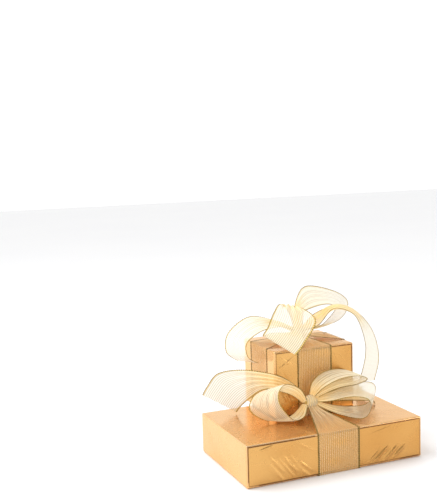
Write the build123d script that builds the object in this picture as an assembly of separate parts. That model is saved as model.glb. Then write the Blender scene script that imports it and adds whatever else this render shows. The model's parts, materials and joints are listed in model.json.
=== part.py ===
from build123d import *
import os

# Two wrapped gifts, a small one standing on a wide flat one, each tied with a sheer
# wire-edged ribbon that ends in a bow.  Millimetres, +Z up, +X along the wide gift's
# long side, -Y towards its front.  The origin is the middle of the wide gift's footprint,
# on the surface that it stands on.

# ---- driving dimensions ----
lower_length = 170.0  # outside of the wrapped wide gift, along X
lower_depth = 100.0  # along Y
lower_height = 36.3  # along Z

upper_length = 80.0  # outside of the wrapped small gift
upper_depth = 65.0
upper_height = 60.5
upper_shift = 5.5  # how far the small gift stands to the right of the wide gift's middle
upper_front = -1.5  # where its front face stands along Y

paper = 0.3  # foil paper, with the lap of its own folds
flap_paper = 0.12  # how much of that is the last flap of a folded end
paper_corner = 0.6  # outside radius of the belt of paper at the box's edges
board = 1.6  # grey board of the cartons
lid_gap = 0.3  # between a lid and its tray
lid_share = 0.96  # how far a lid's sides come down over its tray
tape = 0.12  # clear tape
tape_width = 18.0
tape_share = 0.6  # how much of a folded end's height it covers
tape_shift = 34.0  # from the middle of the wide gift
upper_tape_shift = -27.0  # from the middle of the small gift
fold_slope = 0.45  # slant of the last flap's ends, sideways over down

lower_ribbon = 40.0  # width of the wide gift's ribbon
upper_ribbon = 34.0  # width of the small gift's ribbon where it is tied round the box
bow_ribbon = 38.0  # and where it spreads out in the bow
ribbon = 0.4  # thickness, with its wire edge
band_shift = 1.3  # middle of the wide gift's band along X

knot_radius = 5.0
drawn_knot = 5.0  # radius of the knots that the routes below are drawn for
lower_knot_place = (-3.0, -8.0)  # over the wide gift's top
lower_knot_rise = 15.0
upper_knot_rise = 9.5
knot_gap = 0.5  # between a knot and each run of ribbon that comes out of it
gathered = 0.2  # share of its width that the ribbon keeps at a knot
foot_side = 0.7  # where a band leaves its knot, as shares of the way out of the knot
foot_down = 0.8
wire = 0.4  # thickness of the gilt wire in the ribbon's two edges
wire_gap = 0.05  # between the wire and the weave
bend = 1.0  # length of ribbon taken by each side of a bend over an edge
rise_start = 12.0  # where the wide gift's band starts to narrow, behind the small gift's front
rise_share = 0.5  # share of its width that it keeps at that front

# ---- heights and middles that follow ----
lower_base = ribbon
lower_top = lower_base + lower_height
upper_base = lower_top + 3 * ribbon
upper_top = upper_base + upper_height
upper_middle = (upper_shift, upper_front + upper_depth / 2)
lower_knot = Vector(*lower_knot_place, lower_top + lower_knot_rise)
upper_knot = Vector(*upper_middle, upper_top + upper_knot_rise)

# ---- routes of the bows ----
# Each station is a place from the middle of its gift's top, the way across the ribbon
# there, and the share of its full width that the ribbon keeps.
lower_routes = {
    "lower_left_loop": [
        ((-9.2, -9, 16.5), (0.1, -0.9, 0.35), 0.2),
        ((-22.8, -15.5, 28.5), (0.36, -0.84, 0.42), 0.4),
        ((-41, -19.2, 35.5), (0.23, -0.89, 0.39), 0.72),
        ((-51, -18, 30.5), (0.34, -0.89, 0.31), 0.83),
        ((-52, -17, 18.5), (0.42, -0.85, 0.3), 0.93),
        ((-39.4, -18.5, 6.2), (0.43, -0.88, 0.2), 0.81),
        ((-22.2, -16, 5.2), (0.47, -0.84, 0.25), 0.5),
        ((-9.2, -9.5, 12.5), (0.1, -0.9, 0.3), 0.2),
    ],
    "lower_left_tail": [
        ((-8.5, -6, 19.5), (0.1, -0.15, -0.95), 0.2),
        ((-22, -4.6, 30), (0.15, -0.2, -0.95), 0.3),
        ((-38, -4.5, 37), (0.2, -0.3, -0.92), 0.36),
        ((-54, 6, 37.5), (0.55, -0.4, -0.7), 0.65),
        ((-65, 20, 30), (0.7, -0.27, -0.65), 0.95),
        ((-70.2, 30, 19), (0.8, -0.2, -0.55), 0.95),
        ((-72.5, 36.5, 10.6), (0.83, -0.2, -0.5), 0.93),
    ],
    "lower_right_front_loop": [
        ((3.2, -9.6, 15.5), (0.3, 0.9, 0.1), 0.2),
        ((14, -17, 20), (0.5, 0.8, 0.1), 0.6),
        ((32, -23, 24.5), (0.6, 0.75, 0.05), 1),
        ((50, -22, 21), (0.6, 0.75, 0.1), 1),
        ((54, -21.5, 11.5), (0.6, 0.75, 0.1), 1),
        ((43, -22.5, 3), (0.55, 0.8, 0.02), 1),
        ((21, -17, 6), (0.5, 0.8, 0.05), 0.55),
        ((3.2, -9.5, 12), (0.3, 0.9, 0.1), 0.2),
    ],
    "lower_right_back_loop": [
        ((-1.5, -9.5, 21), (0.2, -0.95, 0), 0.2),
        ((2, -14, 31), (0.1, -1, 0), 0.5),
        ((14, -17, 38.5), (0.1, -1, 0), 0.7),
        ((30, -18, 39.5), (0.1, -1, 0), 0.75),
        ((41, -17, 35), (0.1, -1, 0), 0.7),
        ((35, -15, 30.5), (0.1, -1, 0), 0.6),
        ((16, -13, 27.5), (0.1, -1, 0), 0.45),
        ((1.8, -9.5, 19.5), (0.1, -1, 0), 0.2),
    ],
    "lower_right_tail": [
        ((2, -4.2, 16.5), (0.05, 0.05, 1), 0.2),
        ((22, -4, 17), (0.05, 0.05, 1), 0.3),
        ((44, -3.6, 15), (0.1, 0.1, 1), 0.35),
        ((57, 3.5, 12), (0.1, 0.6, 0.6), 0.45),
        ((66, 11, 8), (0, 0.9, 0.25), 0.7),
        ((67, 13, 0.6), (-0.1, 0.95, 0), 0.75),
    ],
}
upper_routes = {
    "upper_left_curl": [
        ((-5.3, 1.7, 11.2), (0, -1, 0), 0.2),
        ((-20, 5, 17.5), (0, -0.95, -0.2), 0.45),
        ((-40, 8, 18), (0, -0.95, -0.3), 0.75),
        ((-58, 7, 7), (0.1, -0.98, -0.1), 0.9),
        ((-59, 6, -8), (0.15, -0.98, 0.05), 1),
        ((-48.5, 6, -16), (0.1, -0.98, 0.15), 1),
    ],
    "upper_front_loop": [
        ((-1.6, -4.7, 12.4), (-0.95, 0.2, 0.1), 0.2),
        ((-7.1, -12, 28.5), (-0.94, 0.33, 0.04), 0.32),
        ((-14.8, -17.5, 36.5), (-0.86, 0.47, 0.19), 0.51),
        ((-17.4, -29, 29), (-0.77, 0.61, 0.15), 1),
        ((-28, -32, 14), (-0.5, 0.8, 0.3), 1),
        ((-33, -28, 4.7), (-0.4, 0.86, 0.33), 1),
        ((-20.6, -20.5, 8), (-0.47, 0.87, 0.15), 0.93),
        ((-2.6, -5.6, 8.6), (-0.9, 0.4, 0), 0.2),
    ],
    "upper_right_loop": [
        ((2.6, 6.6, 14.2), (0.3, 0.9, 0.1), 0.2),
        ((4.9, 6.5, 28.6), (0.07, 0.9, 0.43), 0.41),
        ((19.3, 10, 38.2), (0.08, 0.79, 0.6), 0.7),
        ((41, 9, 35.6), (0.6, 0.76, 0.24), 0.83),
        ((52.6, 8.5, 27.9), (0.74, 0.67, 0.01), 0.98),
        ((47.9, 8.5, 17.3), (0.77, 0.63, -0.13), 1),
        ((34, 8, 9.5), (0.78, 0.6, -0.1), 0.73),
        ((7, 3.8, 9), (0.4, 0.9, 0), 0.2),
    ],
    "upper_right_tail": [
        ((4.6, -2.8, 11.2), (0.3, 0.9, 0.15), 0.2),
        ((13.6, -11, 19.9), (-0.1, 0.7, 0.7), 0.3),
        ((26, -17, 30.5), (0.3, 0.95, 0.07), 0.25),
        ((40, -18, 30), (0.51, 0.86, 0.01), 0.43),
        ((55, -18, 20.5), (0.64, 0.76, -0.08), 0.62),
        ((66.5, -18, 0), (0.71, 0.71, -0.03), 0.97),
        ((69.5, -18, -21), (0.78, 0.6, -0.2), 1),
        ((63.5, -18, -43), (0.79, 0.57, -0.2), 1),
    ],
}
samples = 3  # cross-sections from one station to the next


# ---- cartons and paper ----
ON_BASE = (Align.CENTER, Align.CENTER, Align.MIN)
UNDER_TOP = (Align.CENTER, Align.CENTER, Align.MAX)


def tray(length, depth, height, middle, base):
    """An open tray of board that stands inside the lid."""
    inset = 2 * (paper + board + lid_gap)
    walls = inset + 2 * board
    outside = Box(length - inset, depth - inset, height - 2 * paper - board, align=ON_BASE)
    inside = Box(length - walls, depth - walls, height, align=ON_BASE)
    return Pos(*middle, base + paper) * (outside - Pos(0, 0, board) * inside)


def lid(length, depth, height, middle, base):
    """A lid whose sides slide down over the tray."""
    side = (height - 2 * paper) * lid_share
    walls = 2 * (paper + board)
    outside = Box(length - 2 * paper, depth - 2 * paper, side, align=UNDER_TOP)
    inside = Box(length - walls, depth - walls, side, align=UNDER_TOP)
    return Pos(*middle, base + height - paper) * (outside - Pos(0, 0, -board) * inside)


def belt(length, depth, height, middle, base):
    """The belt of paper over the top, round both ends and under the bottom."""
    outside = RectangleRounded(length, height, paper_corner)
    inside = Rectangle(length - 2 * paper, height - 2 * paper)
    ring = extrude(Plane.XZ * (outside - inside), depth / 2 - paper, both=True)
    return Pos(*middle, base + height / 2) * ring


def folded_end(length, depth, height, middle, base, side):
    """The end of the paper folded over a long side: a sheet under one flap with slanting ends."""
    half = length / 2 - paper_corner
    rise = height / 2 - paper_corner
    cut = 2 * rise * fold_slope
    sheet = Box(2 * half, paper - flap_paper, 2 * rise)
    corners = ((-half, rise), (half, rise), (half - cut, -rise), (cut - half, -rise))
    flap = make_face(Polyline(*corners, close=True))
    place = Pos(middle[0], middle[1] + side * depth / 2, base + height / 2)
    inner = Pos(0, -side * (paper + flap_paper) / 2, 0) * sheet
    outer = Pos(0, -side * flap_paper / 2, 0) * extrude(Plane.XZ * flap, flap_paper / 2, both=True)
    return place * (inner + outer)


def tape_strip(depth, height, middle, base, side, shift):
    """A strip of clear tape up a folded end."""
    strip = Box(tape_width, tape, height * tape_share)
    return Pos(middle[0] + shift, middle[1] + side * (depth + tape) / 2, base + height / 2) * strip


# ---- ribbon ----
def along(values, place):
    """A smooth curve through a list of vectors, read at a place counted in stations."""
    first = min(int(place), len(values) - 2)
    t = place - first
    a = values[max(first - 1, 0)]
    b = values[first]
    c = values[first + 1]
    d = values[min(first + 2, len(values) - 1)]
    square = a * 2 - b * 5 + c * 4 - d
    cube = b * 3 - a - c * 3 + d
    return (b * 2 + (c - a) * t + square * t**2 + cube * t**3) * 0.5


def strip(middles, halves, thickness):
    """A thin solid strip through cross-sections, mitred where it turns."""
    sections = []
    for number, middle in enumerate(middles):
        before = middle - middles[number - 1] if number else middles[1] - middle
        after = middles[number + 1] - middle if number + 1 < len(middles) else before
        across = halves[number].normalized()
        before = (before - across * before.dot(across)).normalized()
        after = (after - across * after.dot(across)).normalized()
        way = (before + after).normalized()
        rise = way.cross(across) * (thickness / 2 / way.dot(after))
        left = middle - halves[number]
        right = middle + halves[number]
        corners = (left - rise, right - rise, right + rise, left + rise)
        sections.append(make_face(Polyline(*corners, close=True)))
    return loft(sections, ruled=True)


def edge_wires(middles, halves):
    """The wire in each edge of a strip of ribbon, as one group of two solids."""
    wires = []
    for side in (-1, 1):
        beside = [half * (side * (1 + (wire_gap + wire / 2) / half.length)) for half in halves]
        places = [middle + offset for middle, offset in zip(middles, beside)]
        wires.append(strip(places, [half.normalized() * (wire / 2) for half in halves], wire))
    return Compound(children=wires)


def run(route, origin, knot):
    """The cross-sections of one run of a bow, whose gathered ends stand off its knot."""
    middles = []
    for place, across, share in route:
        middle = Vector(*place) + origin
        if share == gathered:
            middle = knot + (middle - knot) * (knot_radius / drawn_knot)
        middles.append(middle)
    halves = [Vector(*across).normalized() * (share * bow_ribbon / 2) for place, across, share in route]
    places = [step / samples for step in range(samples * (len(route) - 1) + 1)]
    return [along(middles, place) for place in places], [along(halves, place) for place in places]


def band(knot, width, out, across, corners):
    """The cross-sections of a ribbon that leaves a knot, goes round a box and comes back."""
    foot = knot_radius + knot_gap
    below = knot - Vector(0, 0, foot * foot_down)
    aside = out * (foot * foot_side)
    ends = (below - aside, below + aside)
    full = across * (width / 2)
    middles = [ends[0]] + [place for place, share in corners] + [ends[1]]
    halves = [full * gathered] + [full * share for place, share in corners] + [full * gathered]
    return middles, halves


def round_box(middle, out, reach, base, top):
    """The stations of a band that lies flat on a box, three to each bend, from its near top edge on."""
    away = reach + ribbon / 2
    high = top + ribbon / 2
    low = base - ribbon / 2
    near_top = ((bend - away, high), (-away, high), (-away, high - bend))
    near_base = ((-away, low + bend), (-away, low), (bend - away, low))
    far_base = ((away - bend, low), (away, low), (away, low + bend))
    far_top = ((away, high - bend), (away, high), (away - bend, high))
    places = near_top + near_base + far_base + far_top
    return [(middle + out * across + Vector(0, 0, height), 1) for across, height in places]


def lower_band():
    """The wide gift's one band, which rises to its knot in front of the small gift."""
    out = Vector(0, 1, 0)
    corners = round_box(Vector(band_shift, 0, 0), out, lower_depth / 2, lower_base, lower_top)
    height = lower_top + ribbon / 2
    corners.append((Vector(band_shift, upper_front + rise_start, height), 1))
    corners.append((Vector(band_shift, upper_front - 3 * ribbon, height), rise_share))
    return band(lower_knot, lower_ribbon, out, Vector(1, 0, 0), corners)


def upper_band(out, across, reach, lift):
    """One of the small gift's two bands, lifted off its base where they cross."""
    corners = round_box(Vector(*upper_middle, 0), out, reach, upper_base - lift, upper_top)
    return band(upper_knot, upper_ribbon, out, across, corners)


# ---- the pieces ----
os.makedirs("parts", exist_ok=True)


def save(name, piece):
    export_step(piece, f"parts/{name}.step")


gifts = {
    "lower": (lower_length, lower_depth, lower_height, (0, 0), lower_base),
    "upper": (upper_length, upper_depth, upper_height, upper_middle, upper_base),
}
tape_shifts = {"lower": tape_shift, "upper": upper_tape_shift}
for name, (length, depth, height, middle, base) in gifts.items():
    box = (length, depth, height, middle, base)
    save(f"{name}_carton_tray", tray(*box))
    save(f"{name}_carton_lid", lid(*box))
    save(f"{name}_paper_belt", belt(*box))
    for face, side in (("front", -1), ("back", 1)):
        save(f"{name}_paper_{face}_fold", folded_end(*box, side))
    save(f"{name}_back_tape", tape_strip(depth, height, middle, base, 1, tape_shifts[name]))

runs = {"lower_band": lower_band()}
runs["upper_band_front_back"] = upper_band(Vector(0, 1, 0), Vector(1, 0, 0), upper_depth / 2, 0)
runs["upper_band_left_right"] = upper_band(Vector(1, 0, 0), Vector(0, 1, 0), upper_length / 2, ribbon)
for name, route in lower_routes.items():
    runs[name] = run(route, Vector(0, 0, lower_top), lower_knot)
for name, route in upper_routes.items():
    runs[name] = run(route, Vector(*upper_middle, upper_top), upper_knot)
for name, (middles, halves) in runs.items():
    save(name, strip(middles, halves, ribbon))
    save(f"{name}_wires", edge_wires(middles, halves))

for name, place in (("lower", lower_knot), ("upper", upper_knot)):
    save(f"{name}_knot", Pos(place) * Sphere(knot_radius))
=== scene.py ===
import json
import math

import bmesh
import bpy
from mathutils import Matrix, Vector

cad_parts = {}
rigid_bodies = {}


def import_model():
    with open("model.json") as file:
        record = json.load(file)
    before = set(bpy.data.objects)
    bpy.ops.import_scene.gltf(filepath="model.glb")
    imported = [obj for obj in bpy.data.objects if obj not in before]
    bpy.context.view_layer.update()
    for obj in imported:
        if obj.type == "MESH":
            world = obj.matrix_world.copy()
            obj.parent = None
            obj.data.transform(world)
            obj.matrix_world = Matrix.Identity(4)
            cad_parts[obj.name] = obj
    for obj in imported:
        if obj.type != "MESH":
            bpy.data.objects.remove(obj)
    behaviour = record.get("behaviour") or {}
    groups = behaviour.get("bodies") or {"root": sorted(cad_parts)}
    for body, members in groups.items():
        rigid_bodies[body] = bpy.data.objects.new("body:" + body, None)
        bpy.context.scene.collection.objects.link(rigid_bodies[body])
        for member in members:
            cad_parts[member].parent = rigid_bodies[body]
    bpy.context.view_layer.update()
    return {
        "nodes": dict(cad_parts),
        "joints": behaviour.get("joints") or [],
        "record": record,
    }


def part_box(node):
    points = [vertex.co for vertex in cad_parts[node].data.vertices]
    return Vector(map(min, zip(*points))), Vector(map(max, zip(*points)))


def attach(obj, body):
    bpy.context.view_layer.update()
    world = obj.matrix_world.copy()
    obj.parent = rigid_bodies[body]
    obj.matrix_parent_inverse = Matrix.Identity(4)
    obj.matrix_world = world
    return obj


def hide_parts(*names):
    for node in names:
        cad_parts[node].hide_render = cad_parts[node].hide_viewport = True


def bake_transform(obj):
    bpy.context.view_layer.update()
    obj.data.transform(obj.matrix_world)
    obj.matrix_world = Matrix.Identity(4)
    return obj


# Two gifts in foil paper, a small one standing on a wide flat one, each tied with sheer
# wire-edged ribbon.  Metres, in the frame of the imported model.

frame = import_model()

MM = 0.001
UP = Vector((0, 0, 1))
EAST = Vector((1, 0, 0))
NORTH = Vector((0, 1, 0))


# ---- sizes ----
def middle_of(node):
    low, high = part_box(node)
    return (low + high) / 2


def gift_box(gift):
    """Lowest and highest corner of a wrapped gift."""
    low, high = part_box(f"{gift}_paper_belt")
    low.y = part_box(f"{gift}_paper_front_fold")[0].y
    high.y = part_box(f"{gift}_paper_back_fold")[1].y
    return low, high


lower_low, lower_high = gift_box("lower")
upper_low, upper_high = gift_box("upper")
lower_knot = middle_of("lower_knot")
upper_knot = middle_of("upper_knot")
lower_origin = Vector((0, 0, lower_high.z))
upper_origin = Vector(((upper_low.x + upper_high.x) / 2, (upper_low.y + upper_high.y) / 2, upper_high.z))

lower_band_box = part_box("lower_band")
upper_front_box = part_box("upper_band_front_back")
lower_ribbon = lower_band_box[1].x - lower_band_box[0].x
upper_ribbon = upper_front_box[1].x - upper_front_box[0].x
bow_ribbon = 38 * MM  # width of the ribbon where it spreads out in a bow
ribbon = 0.4 * MM  # thickness, with its wire edge
gathered = 0.2  # share of its width that a ribbon keeps at a knot
knot_radius = (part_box("lower_knot")[1].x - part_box("lower_knot")[0].x) / 2

wire_radius = 0.24 * MM
stitch = 1.5 * MM  # from one stitch over the wire to the next
stitch_swell = 0.35  # how far a stitch swells the wire, as a share of its radius

ribs = 20  # lengthwise ribs of the weave
rib_height = 0.09 * MM
cross_threads = 30  # in a length as long as the ribbon is wide
pleats = 4  # folds across a gathered ribbon
row_step = 1.6 * MM  # from one row of a ribbon's mesh to the next
columns = 4 * ribs
merge_distance = 0.001 * MM

paper_corner = 1.3 * MM  # radius of the paper at the edges of a box
corner_steps = 4
lip_turns = (-25, 0, 22, 45, 67, 90)  # degrees round the rolled lip, from its tucked edge on
paper_swell = 0.05 * MM  # half of the height of the paper's slow waves
paper_step = 1.1 * MM  # from one row of the belt's mesh to the next

fold_inset = 0.75 * MM  # from the outside of the box to the edge of its folded side
fold_depth = 0.14 * MM  # how far that side lies in, and how high its last flap stands on it
fold_step = 0.4 * MM  # from one row of its mesh to the next
fold_slope = 0.45  # slant of the last flap's ends, sideways over down
fold_wall = 0.1 * MM
flap_edge = 0.35 * MM  # width over which the flap's edge rises
tuck_depth = 0.9 * MM  # how far the edges of a folded side dip under the belt's lip
tuck_width = 0.6 * MM
shade_width = 0.7 * MM  # width of the dark line along those edges

rise_start = 12 * MM  # where the wide gift's band starts to narrow, behind the small gift's front
rise_share = 0.5  # share of its width that it keeps at that front
band_bend = 1.0 * MM  # length of ribbon taken by each side of a bend over an edge
foot_side = 0.77  # where a band leaves its knot, in knot radii from the knot's middle
foot_down = 0.88


# ---- routes of the ribbons ----
# Each station is a place in millimetres from the middle of its gift's top, the way across
# the ribbon there, and the share of its full width that the ribbon keeps.
lower_routes = {
    "lower_left_loop": [
        ((-9.2, -9, 16.5), (0.1, -0.9, 0.35), 0.2),
        ((-22.8, -15.5, 28.5), (0.36, -0.84, 0.42), 0.4),
        ((-41, -19.2, 35.5), (0.23, -0.89, 0.39), 0.72),
        ((-51, -18, 30.5), (0.34, -0.89, 0.31), 0.83),
        ((-52, -17, 18.5), (0.42, -0.85, 0.3), 0.93),
        ((-39.4, -18.5, 6.2), (0.43, -0.88, 0.2), 0.81),
        ((-22.2, -16, 5.2), (0.47, -0.84, 0.25), 0.5),
        ((-9.2, -9.5, 12.5), (0.1, -0.9, 0.3), 0.2),
    ],
    "lower_left_tail": [
        ((-8.5, -6, 19.5), (0.1, -0.15, -0.95), 0.2),
        ((-22, -4.6, 30), (0.15, -0.2, -0.95), 0.3),
        ((-38, -4.5, 37), (0.2, -0.3, -0.92), 0.36),
        ((-54, 6, 37.5), (0.55, -0.4, -0.7), 0.65),
        ((-65, 20, 30), (0.7, -0.27, -0.65), 0.95),
        ((-70.2, 30, 19), (0.8, -0.2, -0.55), 0.95),
        ((-72.5, 36.5, 10.6), (0.83, -0.2, -0.5), 0.93),
    ],
    "lower_right_front_loop": [
        ((3.2, -9.6, 15.5), (0.3, 0.9, 0.1), 0.2),
        ((14, -17, 20), (0.5, 0.8, 0.1), 0.6),
        ((32, -23, 24.5), (0.6, 0.75, 0.05), 1),
        ((50, -22, 21), (0.6, 0.75, 0.1), 1),
        ((54, -21.5, 11.5), (0.6, 0.75, 0.1), 1),
        ((43, -22.5, 3), (0.55, 0.8, 0.02), 1),
        ((21, -17, 6), (0.5, 0.8, 0.05), 0.55),
        ((3.2, -9.5, 12), (0.3, 0.9, 0.1), 0.2),
    ],
    "lower_right_back_loop": [
        ((-1.5, -9.5, 21), (0.2, -0.95, 0), 0.2),
        ((2, -14, 31), (0.1, -1, 0), 0.5),
        ((14, -17, 38.5), (0.1, -1, 0), 0.7),
        ((30, -18, 39.5), (0.1, -1, 0), 0.75),
        ((41, -17, 35), (0.1, -1, 0), 0.7),
        ((35, -15, 30.5), (0.1, -1, 0), 0.6),
        ((16, -13, 27.5), (0.1, -1, 0), 0.45),
        ((1.8, -9.5, 19.5), (0.1, -1, 0), 0.2),
    ],
    "lower_right_tail": [
        ((2, -4.2, 16.5), (0.05, 0.05, 1), 0.2),
        ((22, -4, 17), (0.05, 0.05, 1), 0.3),
        ((44, -3.6, 15), (0.1, 0.1, 1), 0.35),
        ((57, 3.5, 12), (0.1, 0.6, 0.6), 0.45),
        ((66, 11, 8), (0, 0.9, 0.25), 0.7),
        ((67, 13, 0.6), (-0.1, 0.95, 0), 0.75),
    ],
}
upper_routes = {
    "upper_left_curl": [
        ((-5.3, 1.7, 11.2), (0, -1, 0), 0.2),
        ((-20, 5, 17.5), (0, -0.95, -0.2), 0.45),
        ((-40, 8, 18), (0, -0.95, -0.3), 0.75),
        ((-58, 7, 7), (0.1, -0.98, -0.1), 0.9),
        ((-59, 6, -8), (0.15, -0.98, 0.05), 1),
        ((-48.5, 6, -16), (0.1, -0.98, 0.15), 1),
    ],
    "upper_front_loop": [
        ((-1.6, -4.7, 12.4), (-0.95, 0.2, 0.1), 0.2),
        ((-7.1, -12, 28.5), (-0.94, 0.33, 0.04), 0.32),
        ((-14.8, -17.5, 36.5), (-0.86, 0.47, 0.19), 0.51),
        ((-17.4, -29, 29), (-0.77, 0.61, 0.15), 1),
        ((-28, -32, 14), (-0.5, 0.8, 0.3), 1),
        ((-33, -28, 4.7), (-0.4, 0.86, 0.33), 1),
        ((-20.6, -20.5, 8), (-0.47, 0.87, 0.15), 0.93),
        ((-2.6, -5.6, 8.6), (-0.9, 0.4, 0), 0.2),
    ],
    "upper_right_loop": [
        ((2.6, 6.6, 14.2), (0.3, 0.9, 0.1), 0.2),
        ((4.9, 6.5, 28.6), (0.07, 0.9, 0.43), 0.41),
        ((19.3, 10, 38.2), (0.08, 0.79, 0.6), 0.7),
        ((41, 9, 35.6), (0.6, 0.76, 0.24), 0.83),
        ((52.6, 8.5, 27.9), (0.74, 0.67, 0.01), 0.98),
        ((47.9, 8.5, 17.3), (0.77, 0.63, -0.13), 1),
        ((34, 8, 9.5), (0.78, 0.6, -0.1), 0.73),
        ((7, 3.8, 9), (0.4, 0.9, 0), 0.2),
    ],
    "upper_right_tail": [
        ((4.6, -2.8, 11.2), (0.3, 0.9, 0.15), 0.2),
        ((13.6, -11, 19.9), (-0.1, 0.7, 0.7), 0.3),
        ((26, -17, 30.5), (0.3, 0.95, 0.07), 0.25),
        ((40, -18, 30), (0.51, 0.86, 0.01), 0.43),
        ((55, -18, 20.5), (0.64, 0.76, -0.08), 0.62),
        ((66.5, -18, 0), (0.71, 0.71, -0.03), 0.97),
        ((69.5, -18, -21), (0.78, 0.6, -0.2), 1),
        ((63.5, -18, -43), (0.79, 0.57, -0.2), 1),
    ],
}


# ---- materials ----
class Shader:
    """A new material with its nodes, and short ways to add and join them."""

    def __init__(self, name, **values):
        self.material = bpy.data.materials.new(name)
        self.material.use_nodes = True
        self.nodes = self.material.node_tree.nodes
        self.links = self.material.node_tree.links
        self.surface = self.nodes["Principled BSDF"]
        for socket, value in values.items():
            self.surface.inputs[socket.replace("_", " ")].default_value = value

    def add(self, kind, **values):
        node = self.nodes.new(f"ShaderNode{kind}")
        for key, value in values.items():
            setattr(node, key, value)
        return node

    def put(self, socket, value):
        """Sets a socket, or joins another node's output to it."""
        if isinstance(value, bpy.types.NodeSocket):
            self.links.new(value, socket)
        else:
            socket.default_value = value

    def math(self, operation, first, second=0.0, third=0.0):
        node = self.add("Math", operation=operation)
        for socket, value in zip(node.inputs, (first, second, third)):
            self.put(socket, value)
        return node.outputs[0]

    def mix(self, share, first, second):
        node = self.add("Mix", data_type="RGBA")
        self.put(node.inputs["Factor"], share)
        self.put(node.inputs["A"], first)
        self.put(node.inputs["B"], second)
        return node.outputs["Result"]

    def noise(self, scale, detail=3.0, stretch=(1, 1, 1)):
        """Noise of so many lumps to a metre, between 0 and 1."""
        place = self.add("TexCoord").outputs["Object"]
        mapping = self.add("Mapping")
        mapping.inputs["Scale"].default_value = stretch
        self.links.new(place, mapping.inputs["Vector"])
        node = self.add("TexNoise")
        node.inputs["Scale"].default_value = scale
        node.inputs["Detail"].default_value = detail
        self.links.new(mapping.outputs["Vector"], node.inputs["Vector"])
        return node.outputs["Fac"]

    def spread(self, value, low, high, first=0.0, last=1.0):
        """A value taken from one range to another, smoothly and no further."""
        node = self.add("MapRange", interpolation_type="SMOOTHSTEP")
        for socket, number in zip(node.inputs, (value, low, high, first, last)):
            self.put(socket, number)
        return node.outputs["Result"]

    def attribute(self, name):
        return self.add("Attribute", attribute_name=name).outputs["Fac"]

    def bump(self, height, strength, distance):
        node = self.add("Bump")
        node.inputs["Strength"].default_value = strength
        node.inputs["Distance"].default_value = distance
        self.links.new(height, node.inputs["Height"])
        self.links.new(node.outputs["Normal"], self.surface.inputs["Normal"])

    def colour(self, value):
        self.put(self.surface.inputs["Base Color"], value)


def foil_paper(name, light, deep):
    """Peach-gold foil paper: bright metal with soft wrinkles, with painted shade: dark where it folds
    under.
    """
    shader = Shader(name, Metallic=0.85, Coat_Weight=0.12, Coat_Roughness=0.2)
    clouds = shader.noise(14, 2)
    gold = shader.mix(shader.spread(clouds, 0.35, 0.7), light, deep)
    # Painted shade: a dark red-brown line mixed into the colour where the paper tucks under the rolled
    # lip along a box's edges.
    painted_lip_shade = shader.attribute("painted_lip_shade")
    shader.colour(shader.mix(painted_lip_shade, gold, (0.10, 0.018, 0.006, 1)))
    rough = shader.noise(60, 3)
    shader.put(shader.surface.inputs["Roughness"], shader.spread(rough, 0.3, 0.7, 0.2, 0.3))
    wrinkles = shader.noise(22, 3, (1, 1, 2.2))
    shader.bump(wrinkles, 0.1, 1.2 * MM)
    return shader.material


def organza(name, thread, rib, edge, stitches, gathered_and_shaded_colour, sheerness, glow):
    """Sheer ribbon: lengthwise ribs and fine cross threads, with a gold selvedge."""
    shader = Shader(name, Roughness=0.5, Sheen_Weight=0.1, Sheen_Roughness=0.4, Specular_IOR_Level=0.25)
    # Emission: painted glow, so the ribbon gives off light though it is no lamp.
    shader.surface.inputs["Emission Strength"].default_value = glow
    place = shader.add("UVMap", uv_map="UVMap").outputs["UV"]
    parts = shader.add("SeparateXYZ")
    shader.links.new(place, parts.inputs[0])
    across, along = parts.outputs["X"], parts.outputs["Y"]
    turn = 2 * math.pi
    wave = shader.math("SINE", shader.math("MULTIPLY", across, turn * ribs))
    on_rib = shader.spread(wave, -0.2, 0.8)
    weft = shader.math("SINE", shader.math("MULTIPLY", along, turn * cross_threads))
    on_weft = shader.spread(weft, -0.4, 0.9)
    off_middle = shader.math("ABSOLUTE", shader.math("SUBTRACT", across, 0.5))
    selvedge = shader.spread(off_middle, 0.466, 0.478)
    # Where the ribbon gathers, its threads lie denser. The warm golden tint mixed in there is partly
    # painted shade, near the knots and in the knots' folds.
    gathered_and_shaded = shader.attribute("gather_and_shade")
    cloudy = shader.noise(60, 3)
    weave = shader.mix(on_rib, thread, rib)
    weave = shader.mix(shader.spread(gathered_and_shaded, 0.1, 0.75, 0, 0.85), weave, gathered_and_shaded_colour)
    on_stitch = shader.math("SINE", shader.math("MULTIPLY", along, turn * bow_ribbon / stitch))
    seam = shader.mix(shader.spread(on_stitch, -0.2, 0.5), edge, stitches)
    woven = shader.mix(selvedge, weave, seam)
    shader.colour(woven)
    # The painted glow takes the ribbon's own colour.
    shader.put(shader.surface.inputs["Emission Color"], woven)
    closed = shader.math("MULTIPLY_ADD", on_rib, 0.22, sheerness)
    closed = shader.math("MULTIPLY_ADD", on_weft, 0.12, closed)
    closed = shader.math("MULTIPLY_ADD", cloudy, 0.12, closed)
    closed = shader.math("MULTIPLY_ADD", gathered_and_shaded, 0.25, closed)
    closed = shader.math("MAXIMUM", closed, shader.math("MULTIPLY", selvedge, 0.9))
    shader.put(shader.surface.inputs["Alpha"], shader.math("MINIMUM", closed, 1.0))
    threads = shader.math("ADD", on_rib, shader.math("MULTIPLY", on_weft, 0.5))
    shader.bump(threads, 0.4, 0.15 * MM)
    return shader.material


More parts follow.
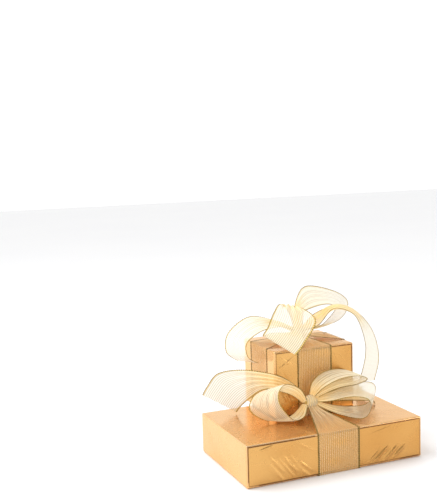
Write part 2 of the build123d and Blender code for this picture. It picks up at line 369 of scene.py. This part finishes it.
def gilt_wire():
    """Gold wire with dark stitches over it."""
    shader = Shader("gilt_wire", Metallic=0.5, Roughness=0.35)
    place = shader.add("UVMap", uv_map="UVMap").outputs["UV"]
    parts = shader.add("SeparateXYZ")
    shader.links.new(place, parts.inputs[0])
    stitches = shader.math("SINE", shader.math("MULTIPLY", parts.outputs["Y"], 2 * math.pi))
    worn = shader.noise(400, 2)
    gold = shader.mix(worn, (0.38, 0.25, 0.05, 1), (0.55, 0.38, 0.10, 1))
    shader.colour(shader.mix(shader.spread(stitches, 0.1, 0.8), gold, (0.05, 0.028, 0.006, 1)))
    shader.bump(worn, 0.2, 0.05 * MM)
    return shader.material


def grey_board():
    """Plain grey board with specks of pulp."""
    shader = Shader("grey_board", Roughness=0.85)
    specks = shader.noise(900, 4)
    shader.colour(shader.mix(specks, (0.36, 0.33, 0.29, 1), (0.52, 0.49, 0.44, 1)))
    shader.bump(specks, 0.3, 0.1 * MM)
    return shader.material


def clear_tape():
    """Clear glossy tape with a few trapped bubbles."""
    shader = Shader("clear_tape", Roughness=0.12, Alpha=0.35, Coat_Weight=0.5)
    bubbles = shader.noise(700, 2)
    shader.colour(shader.mix(shader.spread(bubbles, 0.6, 0.7), (0.9, 0.85, 0.7, 1), (1, 1, 0.95, 1)))
    shader.bump(bubbles, 0.2, 0.05 * MM)
    return shader.material


def studio_white():
    """The pale floor."""
    shader = Shader("studio_white", Roughness=0.7)
    shader.colour(shader.mix(shader.noise(3, 2), (0.9, 0.9, 0.91, 1), (0.93, 0.93, 0.93, 1)))
    return shader.material


FOIL = foil_paper("foil_paper", (0.87, 0.51, 0.20, 1), (0.80, 0.44, 0.15, 1))
# The long front and back sides take a darker copy of the same foil paper: painted shade.
SHADED_FOIL = foil_paper("shaded_foil", (0.73, 0.41, 0.13, 1), (0.62, 0.31, 0.08, 1))
SHEER = organza(
    "sheer_ribbon",
    thread=(0.72, 0.62, 0.43, 1),
    rib=(0.80, 0.74, 0.58, 1),
    edge=(0.78, 0.56, 0.16, 1),
    stitches=(0.30, 0.19, 0.04, 1),
    # Tint where gathered: denser threads, and painted shade near the knot.
    gathered_and_shaded_colour=(1.0, 0.79, 0.42, 1),
    sheerness=0.42,
    glow=0.14,
)
# The bands take a darker, golden copy of the same sheer ribbon, with near-black stitches: painted shade
# of the ribbon where it lies on the foil.
SHADED_SHEER_BAND = organza(
    "shaded_sheer_band",
    thread=(1.0, 0.72, 0.38, 1),
    rib=(0.60, 0.35, 0.10, 1),
    edge=(0.40, 0.25, 0.06, 1),
    stitches=(0.05, 0.03, 0.008, 1),
    gathered_and_shaded_colour=(1.0, 0.84, 0.56, 1),
    sheerness=0.24,
    glow=0.05,
)
WIRE = gilt_wire()
BOARD = grey_board()
TAPE = clear_tape()


# ---- meshes ----
def shaped_grid(across_count, along_count, place):
    """A sheet of squares whose corners go where place(across, along) says, both 0 to 1."""
    bm = bmesh.new()
    bm.loops.layers.uv.new("UVMap")
    bmesh.ops.create_grid(bm, x_segments=across_count, y_segments=along_count, size=0.5, calc_uvs=True)
    for vert in bm.verts:
        vert.co = place(vert.co.x + 0.5, vert.co.y + 0.5)
    return bm


def piece(name, bm, material):
    """A finished smooth object from a bmesh."""
    mesh = bpy.data.meshes.new(name)
    bm.to_mesh(mesh)
    bm.free()
    mesh.materials.append(material)
    mesh.shade_smooth()
    made = bpy.data.objects.new(name, mesh)
    bpy.context.scene.collection.objects.link(made)
    return made


def smooth_between(values, place):
    """A smooth curve through a list of vectors, read at a place counted in stations."""
    first = min(int(place), len(values) - 2)
    t = place - first
    a = values[max(first - 1, 0)]
    b = values[first]
    c = values[first + 1]
    d = values[min(first + 2, len(values) - 1)]
    square = a * 2 - b * 5 + c * 4 - d
    cube = b * 3 - a - c * 3 + d
    return (b * 2 + (c - a) * t + square * t**2 + cube * t**3) * 0.5


# ---- ribbons ----
def bow_sections(route, origin):
    """Close cross-sections of one run of a bow: its middle, and half of its width as a vector."""
    middles = [Vector(place) * MM + origin for place, across, share in route]
    halves = [Vector(across).normalized() * (share * bow_ribbon / 2) for place, across, share in route]
    length = sum((b - a).length for a, b in zip(middles, middles[1:]))
    steps = round(length / row_step)
    places = [step * (len(route) - 1) / steps for step in range(steps + 1)]
    return [(smooth_between(middles, place), smooth_between(halves, place)) for place in places]


def straight_sections(stations):
    """Close cross-sections of a band that runs straight from each station to the next."""
    sections = [stations[0]]
    for (start, start_half), (end, end_half) in zip(stations, stations[1:]):
        steps = max(1, round((end - start).length / row_step))
        for step in range(1, steps + 1):
            share = step / steps
            sections.append((start.lerp(end, share), start_half.lerp(end_half, share)))
    return sections


class Ribbon:
    """A woven strip through cross-sections: pleated where it is gathered, ribbed all over."""

    def __init__(self, sections, width):
        self.sections = sections
        self.width = width
        self.rows = len(sections) - 1
        self.travelled = [0.0]
        for (start, _), (end, _) in zip(sections, sections[1:]):
            self.travelled.append(self.travelled[-1] + (end - start).length)
        self.length = self.travelled[-1]

    def facing(self, row):
        """The way that the ribbon's face looks at a row."""
        before = self.sections[max(row - 1, 0)][0]
        after = self.sections[min(row + 1, self.rows)][0]
        return (after - before).normalized().cross(self.sections[row][1].normalized()).normalized()

    def share(self, row):
        """Share of its full width that the ribbon keeps at a row."""
        return min(1.0, 2 * self.sections[row][1].length / self.width)

    def fold_height(self, row):
        """Height of the pleats that take up the rest of the width."""
        share = self.share(row)
        slope = math.sqrt(max(0.0, 2 * (1 / share**2 - 1)))
        tightness = math.sqrt(min(1.0, (1 - share) / (1 - gathered)))
        return tightness * slope * share * self.width / (2 * math.pi * pleats)

    def place(self, across, row):
        middle, half = self.sections[row]
        side = 2 * across - 1
        pleat = math.sin(2 * math.pi * pleats * across + 0.6 * math.sin(math.pi * side))
        pleat *= math.sin(math.pi * min(1.0, 4 * min(across, 1 - across)) / 2)
        rib = math.sin(2 * math.pi * ribs * across) * rib_height * self.share(row)
        return middle + half * side + self.facing(row) * (self.fold_height(row) * pleat + rib)

    def sheet(self, name, material):
        """The woven strip itself."""
        bm = bmesh.new()
        uv = bm.loops.layers.uv.new("UVMap")
        gather_and_shade = bm.verts.layers.float.new("gather_and_shade")
        bmesh.ops.create_grid(bm, x_segments=columns, y_segments=self.rows, size=0.5, calc_uvs=True)
        for face in bm.faces:
            for loop in face.loops:
                row = round(loop[uv].uv.y * self.rows)
                loop[uv].uv.y = self.travelled[row] / self.width
        for vert in bm.verts:
            row = round((vert.co.y + 0.5) * self.rows)
            # How far the ribbon is gathered here. The colour it brings near the knot is partly painted
            # shade.
            vert[gather_and_shade] = 1 - self.share(row)
            vert.co = self.place(vert.co.x + 0.5, row)
        return piece(name, bm, material)

    def wire(self, name, side):
        """The stitched wire in one edge."""
        around = 6
        rings = round(self.length / (stitch / 4))
        line = []
        for row in range(self.rows + 1):
            middle, half = self.sections[row]
            line.append(middle + (half + half.normalized() * wire_radius) * side)

        def place(across, along):
            at = along * self.rows
            row = min(int(at), self.rows - 1)
            centre = line[row].lerp(line[row + 1], at - row)
            way = (line[row + 1] - line[row]).normalized()
            out = self.facing(row).cross(way).normalized()
            turn = 2 * math.pi * across
            swell = 1 + stitch_swell * math.sin(2 * math.pi * along * self.length / stitch)
            round_wire = out * math.cos(turn) + out.cross(way) * math.sin(turn)
            return centre + round_wire * (wire_radius * swell)

        bm = shaped_grid(around, rings, place)
        uv = bm.loops.layers.uv["UVMap"]
        for face in bm.faces:
            for loop in face.loops:
                loop[uv].uv.y *= self.length / stitch
        bmesh.ops.remove_doubles(bm, verts=bm.verts, dist=merge_distance)
        bmesh.ops.holes_fill(bm, edges=bm.edges, sides=around)
        bmesh.ops.recalc_face_normals(bm, faces=bm.faces)
        return piece(name, bm, WIRE)


def dress_ribbon(node, sections, width, body, material, knot=None, parent=None):
    """Makes a ribbon and its two wires, which stand for a CAD ribbon and its wires."""
    strip = Ribbon(sections, width)
    cloth = strip.sheet(f"{node}_cloth", material)
    wires = [strip.wire(f"{node}_{word}_wire", side) for word, side in (("near", -1), ("far", 1))]
    for made in [cloth] + wires:
        if parent:
            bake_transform(made)
            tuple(knot)
        else:
            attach(made, body)
    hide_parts(node)
    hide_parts(f"{node}_wires")


def round_box(middle, out, reach, base, top):
    """The stations of a band that lies flat on a box, from its near top edge on."""
    bend = band_bend
    away = reach + ribbon / 2
    high = top + ribbon / 2
    low = base - ribbon / 2
    near_top = ((bend - away, high), (-away, high), (-away, high - bend))
    near_base = ((-away, low + bend), (-away, low), (bend - away, low))
    far_base = ((away - bend, low), (away, low), (away, low + bend))
    far_top = ((away, high - bend), (away, high), (away - bend, high))
    places = near_top + near_base + far_base + far_top
    return [(middle + out * across + UP * height, 1) for across, height in places]


def band_sections(knot, width, out, across, corners):
    """Cross-sections of a band that leaves a knot, goes round a box and comes back."""
    below = knot - UP * (foot_down * knot_radius)
    aside = out * (foot_side * knot_radius)
    full = across * (width / 2)
    stations = [(below - aside, full * gathered)]
    stations += [(place, full * share) for place, share in corners]
    stations += [(below + aside, full * gathered)]
    return straight_sections(stations)


def knot_piece(gift, centre, body):
    """A knot: the ribbon's last turn, gathered tight round the bow's middle."""
    axis = EAST
    out = -NORTH
    side = axis.cross(out)
    half = 1.1 * knot_radius

    def folds(x, turn):
        ridges = abs(math.sin(2.6 * math.pi * x + 0.9 * math.sin(turn) + 0.5)) * 2 - 1
        return ridges + 0.5 * math.sin(3 * turn + 2 * x)

    def place(across, along):
        turn = 2 * math.pi * along
        x = across * 2 - 1
        belly = math.sqrt(max(0.0, 1 - (0.93 * x) ** 4))
        radius = knot_radius * belly * (1 + 0.13 * folds(x, turn)) * (1 + 0.08 * math.cos(turn))
        return centre + axis * (half * x) + (out * math.cos(turn) + side * math.sin(turn)) * radius

    bm = shaped_grid(48, 64, place)
    gather_and_shade = bm.verts.layers.float.new("gather_and_shade")
    for vert in bm.verts:
        from_axis = vert.co - centre
        x = from_axis.dot(axis) / half
        turn = math.atan2(from_axis.dot(side), from_axis.dot(out))
        # Deep in the knot's fold valleys: painted golden shade in the colour, and a denser weave.
        vert[gather_and_shade] = max(0.0, min(1.0, 0.55 - 0.5 * folds(x, turn)))
    bmesh.ops.remove_doubles(bm, verts=bm.verts, dist=merge_distance)
    bmesh.ops.holes_fill(bm, edges=bm.edges, sides=0)
    bmesh.ops.recalc_face_normals(bm, faces=bm.faces)
    made = piece(f"{gift}_knot_wrap", bm, SHEER)
    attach(made, body)
    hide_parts(f"{gift}_knot")


bodies = frame["record"]["behaviour"]["bodies"]
body_of = {node: body for body, nodes in bodies.items() for node in nodes}
parent_of = {joint["child"]: joint["parent"] for joint in frame["joints"]}


def dress_bands():
    """The ribbons tied round the boxes."""
    middle = Vector(((lower_band_box[0].x + lower_band_box[1].x) / 2, 0, 0))
    corners = round_box(middle, NORTH, lower_high.y, lower_low.z, lower_high.z)
    height = lower_high.z + ribbon / 2
    corners.append((Vector((middle.x, upper_low.y + rise_start, height)), 1))
    corners.append((Vector((middle.x, upper_low.y - 3 * ribbon, height)), rise_share))
    sections = band_sections(lower_knot, lower_ribbon, NORTH, EAST, corners)
    # The band wears the shaded copy of the ribbon: painted shade.
    dress_ribbon("lower_band", sections, lower_ribbon, body_of["lower_band"],
                 SHADED_SHEER_BAND)
    middle = Vector((upper_origin.x, upper_origin.y, 0))
    half = (upper_high - upper_low) / 2
    for node, out, across, reach, lift in (
        ("upper_band_front_back", NORTH, EAST, half.y, 0),
        ("upper_band_left_right", EAST, NORTH, half.x, ribbon),
    ):
        corners = round_box(middle, out, reach, upper_low.z - lift, upper_high.z)
        sections = band_sections(upper_knot, upper_ribbon, out, across, corners)
        # These bands wear the shaded copy of the ribbon: painted shade.
        dress_ribbon(node, sections, upper_ribbon, body_of[node],
                     SHADED_SHEER_BAND)


def dress_bows():
    """The loops and tails of both bows, and their knots."""
    for routes, origin, knot, gift in (
        (lower_routes, lower_origin, lower_knot, "lower"),
        (upper_routes, upper_origin, upper_knot, "upper"),
    ):
        for node, route in routes.items():
            body = body_of[node]
            fixed = body_of[f"{gift}_knot"] == body
            parent = None if fixed else parent_of[body]
            dress_ribbon(node, bow_sections(route, origin), bow_ribbon, body,
                         SHEER, knot, parent)
    knot_piece("lower", lower_knot, body_of["lower_knot"])
    knot_piece("upper", upper_knot, body_of["upper_knot"])


# ---- paper ----
def crease(point, start, end, height, width):
    """Height of one sharp crease at a point of a face."""
    way = end - start
    share = max(0.0, min(1.0, (point - start).dot(way) / way.length_squared))
    apart = (point - start - way * share).length
    ends = math.sin(math.pi * share) ** 0.5 if 0 < share < 1 else 0.0
    return height * ends * max(0.0, 1 - (apart / width) ** 2) ** 2


def crease_fan(first, step, count, lean, drop):
    """Creases side by side low on a face, from where they start, with the way they lean."""
    made = []
    for number in range(count):
        start = first + Vector((step * number, -1.5 * MM * math.sin(2.3 * number)))
        end = start + Vector((lean * drop, -drop)) * (1 + 0.25 * math.sin(1.7 * number))
        made.append((start, end, (0.4 + 0.08 * (number % 3)) * MM, (1.7 + 0.4 * (number % 2)) * MM))
    return made


def belt_stations(low, high):
    """Places round a box's long section, at its outside, each with the way that it faces."""
    radius = paper_corner
    size = high - low
    centre = (low + high) / 2
    stations = []
    for x, z, first, way, run, side in (
        (1, 1, 0, UP, -EAST, size.x),
        (-1, 1, 90, -EAST, -UP, size.z),
        (-1, -1, 180, -UP, EAST, size.x),
        (1, -1, 270, EAST, UP, size.z),
    ):
        middle = Vector((centre.x + x * (size.x / 2 - radius), 0, centre.z + z * (size.z / 2 - radius)))
        for step in range(corner_steps + 1):
            turn = math.radians(first + 90 * step / corner_steps)
            outward = EAST * math.cos(turn) + UP * math.sin(turn)
            stations.append((middle + outward * radius, outward))
        start = stations[-1][0]
        flat = side - 2 * radius
        steps = round(flat / paper_step)
        for step in range(1, steps):
            stations.append((start + run * (flat * step / steps), way))
    stations.append(stations[0])
    return stations


def belt_rows(low, high):
    """Places along Y from one rolled lip to the other, each with how far in the paper lies."""
    radius = paper_corner
    lip = []
    for degrees in lip_turns:
        turn = math.radians(degrees)
        lip.append((radius * (1 - math.cos(turn)), radius * (1 - math.sin(turn))))
    flat = high.y - low.y - 2 * radius
    steps = round(flat / (2 * paper_step))
    rows = [(low.y + inside, inward) for inside, inward in lip]
    rows += [(low.y + radius + flat * step / steps, 0.0) for step in range(1, steps)]
    rows += [(high.y - inside, inward) for inside, inward in reversed(lip)]
    return rows


def belt_piece(gift, low, high, body):
    """The belt of paper over the top, round both ends and under the bottom."""
    size = high - low
    centre = (low + high) / 2
    stations = belt_stations(low, high)
    rows = belt_rows(low, high)

    def place(across, along):
        spot, way = stations[round(across * (len(stations) - 1))]
        y, inward = rows[round(along * (len(rows) - 1))]
        waves = math.sin(37 * spot.x + 61 * y) * math.sin(53 * spot.z + 29 * y + 23 * spot.x)
        return Vector((spot.x, y, spot.z)) + way * (paper_swell * (1 + waves) - inward)

    bm = shaped_grid(len(stations) - 1, len(rows) - 1, place)
    # Painted shade: a dark line in the colour along the lip's tucked edge, where the paper turns under.
    painted_lip_shade = bm.verts.layers.float.new("painted_lip_shade")
    tucked = paper_corner * (1 - math.sin(math.radians(lip_turns[1]))) - paper_swell
    for vert in bm.verts:
        from_side = min(size.x / 2 - abs(vert.co.x - centre.x), size.z / 2 - abs(vert.co.z - centre.z))
        at_lip = min(vert.co.y - low.y, high.y - vert.co.y) < paper_corner / 2
        vert[painted_lip_shade] = 1.0 if at_lip and from_side > tucked else 0.0
    bmesh.ops.remove_doubles(bm, verts=bm.verts, dist=merge_distance)
    bmesh.ops.recalc_face_normals(bm, faces=bm.faces)
    made = piece(f"{gift}_belt_paper", bm, FOIL)
    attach(made, body)
    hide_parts(f"{gift}_paper_belt")


def fold_piece(gift, face, low, high, body, creases, wave):
    """The paper that closes a long side in flaps: a sheet with one flap's slanting ends, creases, and a
    painted dark line of shade along its edges.
    """
    size = high - low
    centre = (low + high) / 2
    side = -1 if face == "front" else 1
    half = Vector((size.x / 2 - fold_inset, size.z / 2 - fold_inset))
    surface = (low.y if side < 0 else high.y) - side * fold_depth

    def relief(point):
        slant = half.x - (half.y - point.y) / (2 * half.y) * size.z * fold_slope
        edge = max(-1.0, min(1.0, (slant - abs(point.x)) / flap_edge))
        raised = fold_depth * (0.5 + 0.5 * edge)
        raised += sum(crease(point, *one) for one in creases)
        waves = math.sin(90 * point.x + 160 * point.y) * math.sin(210 * point.y - 40 * point.x)
        raised += wave * (1 + waves)
        near = min(half.x - abs(point.x), half.y - abs(point.y))
        return raised - tuck_depth * max(0.0, 1 - near / tuck_width)

    def place(across, along):
        point = Vector(((across - 0.5) * 2 * half.x, (along - 0.5) * 2 * half.y))
        return Vector((centre.x - side * point.x, surface + side * relief(point), centre.z + point.y))

    bm = shaped_grid(round(2 * half.x / fold_step), round(2 * half.y / fold_step), place)
    # Painted shade: the colour darkens to a dark line along the edges, where they dip under the belt's
    # lip.
    painted_lip_shade = bm.verts.layers.float.new("painted_lip_shade")
    for vert in bm.verts:
        near = min(half.x - abs(vert.co.x - centre.x), half.y - abs(vert.co.z - centre.z))
        vert[painted_lip_shade] = max(0.0, min(1.0, 2.1 - near / shade_width))
    # The darker copy of the foil paints shade over the whole side.
    made = piece(f"{gift}_{face}_fold_paper", bm, SHADED_FOIL)
    wall = made.modifiers.new("wall", "SOLIDIFY")
    wall.thickness = fold_wall
    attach(made, body)
    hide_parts(f"{gift}_paper_{face}_fold")


def finish_node(node, material):
    """Gives a CAD part that stays as it is a finish of its own."""
    materials = frame["nodes"][node].data.materials
    materials.clear()
    materials.append(material)


def one_crease(start, end, height, width):
    """A single crease on a face, with its sizes in millimetres."""
    return Vector(start) * MM, Vector(end) * MM, height * MM, width * MM


def dress_gifts():
    """The foil paper on both gifts, and the finishes of the board and tape."""
    lower_creases = crease_fan(Vector((-72, 5)) * MM, 3.6 * MM, 8, 0.8, 18 * MM)
    lower_creases += crease_fan(Vector((-47, -3)) * MM, 4.5 * MM, 3, 1.2, 12 * MM)
    lower_creases += crease_fan(Vector((44, -4)) * MM, 3.8 * MM, 8, -1.25, 12 * MM)
    lower_creases.append(one_crease((-44, 17), (-20.5, 3), 0.4, 1.8))
    lower_creases.append(one_crease((-74, 12), (-60, 15), 0.4, 1.6))
    lower_creases.append(one_crease((60, 15), (30, 9), 0.3, 2))
    upper_creases = crease_fan(Vector((-37, 4)) * MM, 3.5 * MM, 3, 0.42, 20 * MM)
    upper_creases.append(one_crease((-38, 26), (-19, 14.5), 0.3, 2))
    upper_creases.append(one_crease((-37, 13), (-19, 25), 0.26, 2))
    for gift, low, high, creases in (
        ("lower", lower_low, lower_high, lower_creases),
        ("upper", upper_low, upper_high, upper_creases),
    ):
        body = body_of[f"{gift}_paper_belt"]
        belt_piece(gift, low, high, body)
        fold_piece(gift, "front", low, high, body, creases, 0.08 * MM)
        fold_piece(gift, "back", low, high, body, [], 0.03 * MM)
        finish_node(f"{gift}_carton_tray", BOARD)
        finish_node(f"{gift}_carton_lid", BOARD)
        finish_node(f"{gift}_back_tape", TAPE)


# ---- studio ----
def studio():
    """Pale floor, a pale surround that is darker in front, and two soft lights."""
    bm = bmesh.new()
    bmesh.ops.create_grid(bm, x_segments=8, y_segments=8, size=4.0)
    floor = piece("studio_floor", bm, studio_white())
    world = bpy.data.worlds.new("studio")
    world.use_nodes = True
    nodes = world.node_tree.nodes
    links = world.node_tree.links
    parts = nodes.new("ShaderNodeSeparateXYZ")
    links.new(nodes.new("ShaderNodeTexCoord").outputs["Generated"], parts.inputs[0])
    sides = []
    for axis, *span in (("X", -0.9, 0.3, 0.48, 0.06), ("Y", -0.8, 0.25, 0.36, 1.02)):
        side = nodes.new("ShaderNodeMapRange")
        side.interpolation_type = "SMOOTHSTEP"
        links.new(parts.outputs[axis], side.inputs["Value"])
        for socket, value in zip(("From Min", "From Max", "To Min", "To Max"), span):
            side.inputs[socket].default_value = value
        sides.append(side.outputs["Result"])
    both = nodes.new("ShaderNodeMath")
    links.new(sides[0], both.inputs[0])
    links.new(sides[1], both.inputs[1])
    links.new(both.outputs[0], nodes["Background"].inputs["Strength"])
    nodes["Background"].inputs["Color"].default_value = (1, 1, 1, 1)
    bpy.context.scene.world = world
    aim = upper_origin * 0.5
    lights = (
        ("key", (-0.7, 0.25, 1.1), 0.7, 8.0),
        ("fill", (0.9, -0.9, 0.38), 0.45, 4.0),
    )
    for name, place, size, power in lights:
        lamp = bpy.data.lights.new(name, "AREA")
        lamp.size = size
        lamp.energy = power
        made = bpy.data.objects.new(name, lamp)
        made.location = place
        made.rotation_euler = (aim - Vector(place)).to_track_quat("-Z", "Y").to_euler()
        bpy.context.scene.collection.objects.link(made)


def camera():
    """Looks a little down on the front and the left end."""
    lens = bpy.data.cameras.new("camera")
    lens.lens = 60.3
    lens.sensor_width = 36
    lens.clip_start = 0.01
    made = bpy.data.objects.new("camera", lens)
    heading = Matrix.Rotation(math.radians(-22.1), 4, "Z")
    pitch = Matrix.Rotation(math.radians(90 - 6.51), 4, "X")
    roll = Matrix.Rotation(math.radians(-1.70), 4, "Z")
    made.matrix_world = Matrix.Translation((-0.34855, -0.65194, 0.27271)) @ heading @ pitch @ roll
    bpy.context.scene.collection.objects.link(made)
    bpy.context.scene.camera = made


bpy.context.scene.view_settings.view_transform = "Standard"
camera()
studio()
dress_gifts()
dress_bands()
dress_bows()
